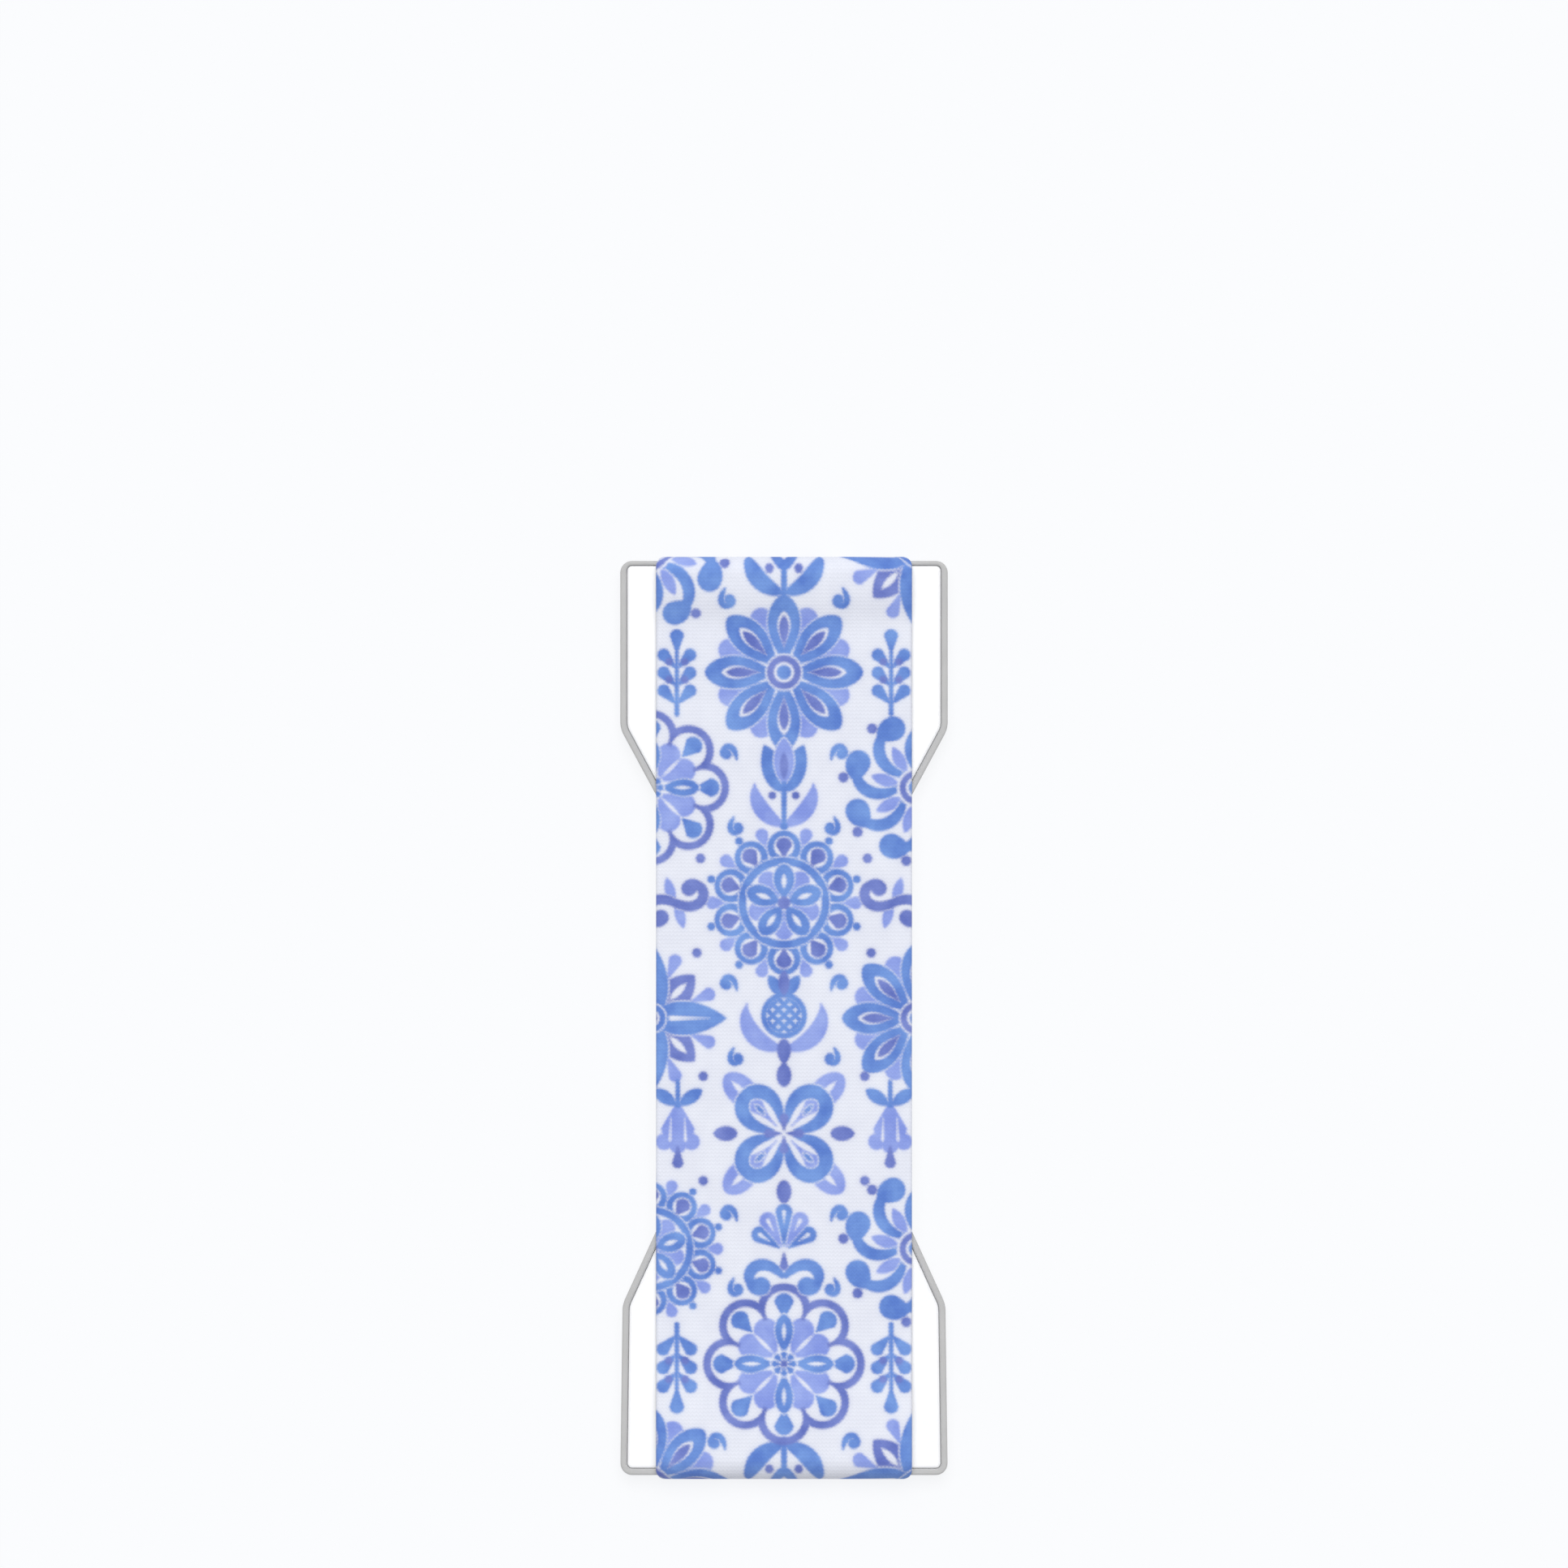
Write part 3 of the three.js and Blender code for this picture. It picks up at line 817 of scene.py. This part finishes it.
    # Drawn in across its width by the share that each step has
    share = add(tree, "GeometryNodeInputNamedAttribute", {"Name": "share"})
    factors = add(tree, "ShaderNodeCombineXYZ", {"X": share, "Y": 1.0, "Z": 1.0})
    narrowed = add(
        tree,
        "ShaderNodeVectorMath",
        {0: add(tree, "GeometryNodeInputPosition"), 1: factors},
        operation="MULTIPLY",
    )
    shaped = add(tree, "GeometryNodeSetPosition", {0: swept, "Position": narrowed})
    outward = add(tree, "GeometryNodeFlipFaces", {0: shaped})
    smooth = add(tree, "GeometryNodeSetShadeSmooth", {0: outward})
    realized = add(tree, "GeometryNodeRealizeInstances", {0: smooth})
    dressed = add(tree, "GeometryNodeSetMaterial", {0: realized, "Material": given["Material"]})
    add(tree, "NodeGroupOutput", {0: dressed})
    return tree


def set_inputs(modifier, values):
    """Sets a modifier's inputs by the identifiers of its tree's sockets."""
    for item in modifier.node_group.interface.items_tree:
        if item.in_out == "INPUT" and item.name in values:
            modifier[item.identifier] = values[item.name]


def sweep_band(material):
    """The printed band as one mesh, with the places that its knit and its print are drawn from."""
    points = band_line()
    curve = bpy.data.curves.new("band_line", "CURVE")
    curve.dimensions = "3D"
    spline = curve.splines.new("POLY")
    spline.points.add(len(points) - 1)
    for point, (y, z, share) in zip(spline.points, points):
        point.co = (0.0, y, z, 1.0)
        point.radius = share
    path = bpy.data.objects.new("band_line", curve)
    bpy.context.scene.collection.objects.link(path)

    half_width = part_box("elastic_band")[1].x
    modifier = path.modifiers.new("sweep", "NODES")
    modifier.node_group = band_tree()
    set_inputs(
        modifier,
        {
            "Half width": half_width,
            "Half thickness": CLOTH_THICKNESS / 2,
            "Edge round": CLOTH_EDGE_ROUND,
            "Middle": line_length(lower_half()),
            "Step": MESH_STEP,
            "Face points": round(2 * half_width / MESH_STEP) + 1,
            "Edge points": EDGE_COLUMNS + 1,
            "Back points": BACK_COLUMNS + 1,
            "Material": material,
        },
    )
    depsgraph = bpy.context.evaluated_depsgraph_get()
    mesh = bpy.data.meshes.new_from_object(path.evaluated_get(depsgraph), depsgraph=depsgraph)
    mesh.name = "printed_band"
    band = bpy.data.objects.new("printed_band", mesh)
    bpy.context.scene.collection.objects.link(band)
    bpy.data.objects.remove(path)
    return band


def read_attribute(mesh, name):
    values = np.empty(len(mesh.vertices), np.float32)
    mesh.attributes[name].data.foreach_get("value", values)
    return values.astype(float)


def print_band(band):
    """Stores each ink's distance field, in millimetres, at every point of the band."""
    mesh = band.data
    fields = print_fields(read_attribute(mesh, "across") / MM, read_attribute(mesh, "along") / MM)
    for ink, field in fields.items():
        layer = mesh.attributes.new(f"ink_{ink}", "FLOAT", "POINT")
        layer.data.foreach_set("value", field.astype(np.float32))
    mesh.attributes.remove(mesh.attributes["share"])


# Finishes


def printed_knit():
    """Polyester and elastane knit, dye-sublimation printed: matt, soft-edged inks on rows of fine loops."""
    material, tree = finish_for("printed_elastic_knit")
    across, along, side = [
        add(tree, "ShaderNodeAttribute", attribute_name=name).outputs["Fac"]
        for name in ("across", "along", "side")
    ]

    # Loops: two slanting legs in each wale, which stand higher than the furrow between wales
    lane = add(tree, "ShaderNodeMath", {0: across, 1: 2 / WALE}, operation="MULTIPLY")
    lane = add(tree, "ShaderNodeMath", {0: lane, 1: 1.0}, operation="PINGPONG")
    course = add(tree, "ShaderNodeMath", {0: along, 1: 2 * math.pi / COURSE}, operation="MULTIPLY")
    slant = add(tree, "ShaderNodeMath", {0: lane, 1: math.pi, 2: course}, operation="MULTIPLY_ADD")
    legs = add(tree, "ShaderNodeMath", {0: slant}, operation="SINE")
    legs = add(
        tree,
        "ShaderNodeMapRange",
        {"Value": legs, "From Min": -1.0, "From Max": 1.0, "To Min": 0.25, "To Max": 1.0},
    )
    furrow = add(
        tree,
        "ShaderNodeMapRange",
        {"Value": lane, "From Min": 0.0, "From Max": 0.4, "To Min": 0.6, "To Max": 1.0},
        interpolation_type="SMOOTHSTEP",
    )
    loops = add(tree, "ShaderNodeMath", {0: legs, 1: furrow}, operation="MULTIPLY")

    # White ground and inks, each a little uneven, on the printed face and over its edges
    # The side attribute runs from -1 on the back to 1 on the face
    where = add(tree, "ShaderNodeTexCoord").outputs["Object"]
    uneven = add(tree, "ShaderNodeTexNoise", {"Vector": where, "Scale": 1 / DYE_PATCH, "Detail": 4.0})
    uneven = add(tree, "ShaderNodeMapRange", {"Value": uneven, "From Min": 0.32, "From Max": 0.68})
    printed = add(
        tree,
        "ShaderNodeMapRange",
        {"Value": side, "From Min": -0.6, "From Max": 0.1},
        interpolation_type="SMOOTHSTEP",
    )
    ground = add(
        tree,
        "ShaderNodeMix",
        {0: uneven, MIX_FROM: colour("#ECEFFA"), MIX_TO: colour("#E7EAF6")},
        data_type="RGBA",
    ).outputs[MIX_RESULT]
    shade = add(
        tree,
        "ShaderNodeMix",
        {0: printed, MIX_FROM: colour("#F3F4F8"), MIX_TO: ground},
        data_type="RGBA",
    ).outputs[MIX_RESULT]
    for ink, (light, deep) in INKS.items():
        distance = add(tree, "ShaderNodeAttribute", attribute_name=f"ink_{ink}").outputs["Fac"]
        ragged = add(
            tree,
            "ShaderNodeMath",
            {0: loops, 1: -INK_RAGGEDNESS, 2: distance},
            operation="MULTIPLY_ADD",
        )
        covered = add(
            tree,
            "ShaderNodeMapRange",
            {"Value": ragged, "From Min": INK_SOFTNESS, "From Max": -INK_SOFTNESS},
            interpolation_type="SMOOTHSTEP",
        )
        halo = add(
            tree,
            "ShaderNodeMapRange",
            {"Value": distance, "From Min": INK_HALO, "From Max": 0.0, "To Max": HALO_STRENGTH},
            interpolation_type="SMOOTHSTEP",
        )
        dyed = add(tree, "ShaderNodeMath", {0: covered, 1: halo}, operation="MAXIMUM")
        dyed = add(tree, "ShaderNodeMath", {0: dyed, 1: printed}, operation="MULTIPLY")
        tone = add(
            tree,
            "ShaderNodeMix",
            {0: uneven, MIX_FROM: colour(light), MIX_TO: colour(deep)},
            data_type="RGBA",
        ).outputs[MIX_RESULT]
        shade = add(
            tree,
            "ShaderNodeMix",
            {0: dyed, MIX_FROM: shade, MIX_TO: tone},
            data_type="RGBA",
        ).outputs[MIX_RESULT]

    # Painted shade and light: the furrows and the dips between the legs of the loops are drawn a touch
    # darker, the tops of the loops a hair lighter
    painted_loop_shade = add(tree, "ShaderNodeMapRange", {"Value": loops, "To Min": 0.94, "To Max": 1.01})
    shade = add(
        tree,
        "ShaderNodeVectorMath",
        {0: shade, "Scale": painted_loop_shade},
        operation="SCALE",
    )
    relief = add(tree, "ShaderNodeBump", {"Height": loops, "Distance": 0.04 * MM, "Strength": 0.5})
    cloth = add(
        tree,
        "ShaderNodeBsdfPrincipled",
        {
            "Base Color": shade,
            "Roughness": 0.85,
            "Specular IOR Level": 0.25,
            "Sheen Weight": 0.08,
            "Sheen Roughness": 0.5,
            "Normal": relief,
        },
    )
    add(tree, "ShaderNodeOutputMaterial", {0: cloth})
    return material


def spark_eroded_polycarbonate():
    """White polycarbonate from a spark-eroded mould: an even fine grain that takes the shine off."""
    material, tree = finish_for("white_polycarbonate")
    where = add(tree, "ShaderNodeTexCoord").outputs["Object"]
    grain = add(tree, "ShaderNodeTexNoise", {"Vector": where, "Scale": 1 / SPARK_GRAIN, "Detail": 2.0})
    cloudy = add(tree, "ShaderNodeTexNoise", {"Vector": where, "Scale": 1 / PLASTIC_CLOUD, "Detail": 2.0})
    tone = add(
        tree,
        "ShaderNodeMix",
        {0: cloudy, MIX_FROM: colour("#FBFBFD"), MIX_TO: colour("#F6F7F9")},
        data_type="RGBA",
    ).outputs[MIX_RESULT]
    gloss = add(tree, "ShaderNodeMapRange", {"Value": grain, "To Min": 0.36, "To Max": 0.56})
    relief = add(tree, "ShaderNodeBump", {"Height": grain, "Distance": 0.02 * MM, "Strength": 0.35})
    plastic = add(
        tree,
        "ShaderNodeBsdfPrincipled",
        {"Base Color": tone, "Roughness": gloss, "IOR": 1.58, "Normal": relief},
    )
    add(tree, "ShaderNodeOutputMaterial", {0: plastic})
    return material


def grey_elastomer():
    """Light grey thermoplastic elastomer, moulded onto the plate: satin, faintly mottled, soft to touch."""
    material, tree = finish_for("grey_elastomer")
    where = add(tree, "ShaderNodeTexCoord").outputs["Object"]
    mottle = add(tree, "ShaderNodeTexNoise", {"Vector": where, "Scale": 1 / RUBBER_MOTTLE, "Detail": 3.0})
    pores = add(tree, "ShaderNodeTexNoise", {"Vector": where, "Scale": 1 / RUBBER_PORE, "Detail": 1.0})
    tone = add(
        tree,
        "ShaderNodeMix",
        {0: mottle, MIX_FROM: colour("#C2C2C2"), MIX_TO: colour("#B9B9B9")},
        data_type="RGBA",
    ).outputs[MIX_RESULT]
    gloss = add(tree, "ShaderNodeMapRange", {"Value": mottle, "To Min": 0.5, "To Max": 0.7})
    relief = add(tree, "ShaderNodeBump", {"Height": pores, "Distance": 0.015 * MM, "Strength": 0.4})
    rubber = add(
        tree,
        "ShaderNodeBsdfPrincipled",
        {"Base Color": tone, "Roughness": gloss, "IOR": 1.5, "Specular IOR Level": 0.35, "Normal": relief},
    )
    add(tree, "ShaderNodeOutputMaterial", {0: rubber})
    return material


def natural_nylon():
    """Unpigmented moulded nylon: milky, a little see-into, with faint flow lines along the clip."""
    material, tree = finish_for("natural_nylon")
    where = add(tree, "ShaderNodeTexCoord").outputs["Object"]
    stretched = add(tree, "ShaderNodeMapping", {"Vector": where, "Scale": (FLOW_STRETCH, 1.0, 1.0)})
    flow = add(tree, "ShaderNodeTexNoise", {"Vector": stretched, "Scale": 1 / FLOW_LINE, "Detail": 3.0})
    tone = add(
        tree,
        "ShaderNodeMix",
        {0: flow, MIX_FROM: colour("#ECEDEA"), MIX_TO: colour("#E1E3E2")},
        data_type="RGBA",
    ).outputs[MIX_RESULT]
    gloss = add(tree, "ShaderNodeMapRange", {"Value": flow, "To Min": 0.32, "To Max": 0.46})
    relief = add(tree, "ShaderNodeBump", {"Height": flow, "Distance": 0.01 * MM, "Strength": 0.3})
    nylon = add(
        tree,
        "ShaderNodeBsdfPrincipled",
        {
            "Base Color": tone,
            "Roughness": gloss,
            "IOR": 1.53,
            "Subsurface Weight": 0.15,
            "Subsurface Scale": 0.5 * MM,
            "Normal": relief,
        },
    )
    add(tree, "ShaderNodeOutputMaterial", {0: nylon})
    return material


def acrylic_foam():
    """Closed-cell acrylic foam tape: grey, matt, with small open bubbles where it is cut."""
    material, tree = finish_for("acrylic_foam")
    where = add(tree, "ShaderNodeTexCoord").outputs["Object"]
    bubbles = add(tree, "ShaderNodeTexVoronoi", {"Vector": where, "Scale": 1 / FOAM_BUBBLE})
    bubble_pits_and_shade = add(
        tree,
        "ShaderNodeMapRange",
        {"Value": bubbles.outputs["Distance"], "From Min": 0.1, "From Max": 0.45},
        interpolation_type="SMOOTHSTEP",
    )
    # Painted shade: the pits of the open bubbles are drawn darker than the foam round them, as well as sunk
    # by the bump
    tone = add(
        tree,
        "ShaderNodeMix",
        {0: bubble_pits_and_shade, MIX_FROM: colour("#BFC2C6"), MIX_TO: colour("#D6D8DB")},
        data_type="RGBA",
    ).outputs[MIX_RESULT]
    relief = add(tree, "ShaderNodeBump", {"Height": bubble_pits_and_shade, "Distance": 0.05 * MM, "Strength": 0.6})
    foam = add(
        tree,
        "ShaderNodeBsdfPrincipled",
        {"Base Color": tone, "Roughness": 0.9, "Specular IOR Level": 0.3, "Normal": relief},
    )
    add(tree, "ShaderNodeOutputMaterial", {0: foam})
    return material


def dress(nodes, material):
    for name in nodes:
        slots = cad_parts[name].data.materials
        slots.clear()
        slots.append(material)


place_camera()
lay_floor()
light_the_scene()
bpy.context.scene.view_settings.view_transform = "Standard"

dress(["base_plate"], spark_eroded_polycarbonate())
dress(["edge_bead_left", "edge_bead_right"], grey_elastomer())
dress(["upper_clip", "lower_clip"], natural_nylon())
dress(["adhesive_pad"], acrylic_foam())

band = sweep_band(printed_knit())
print_band(band)
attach(band, "root")
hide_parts("elastic_band")
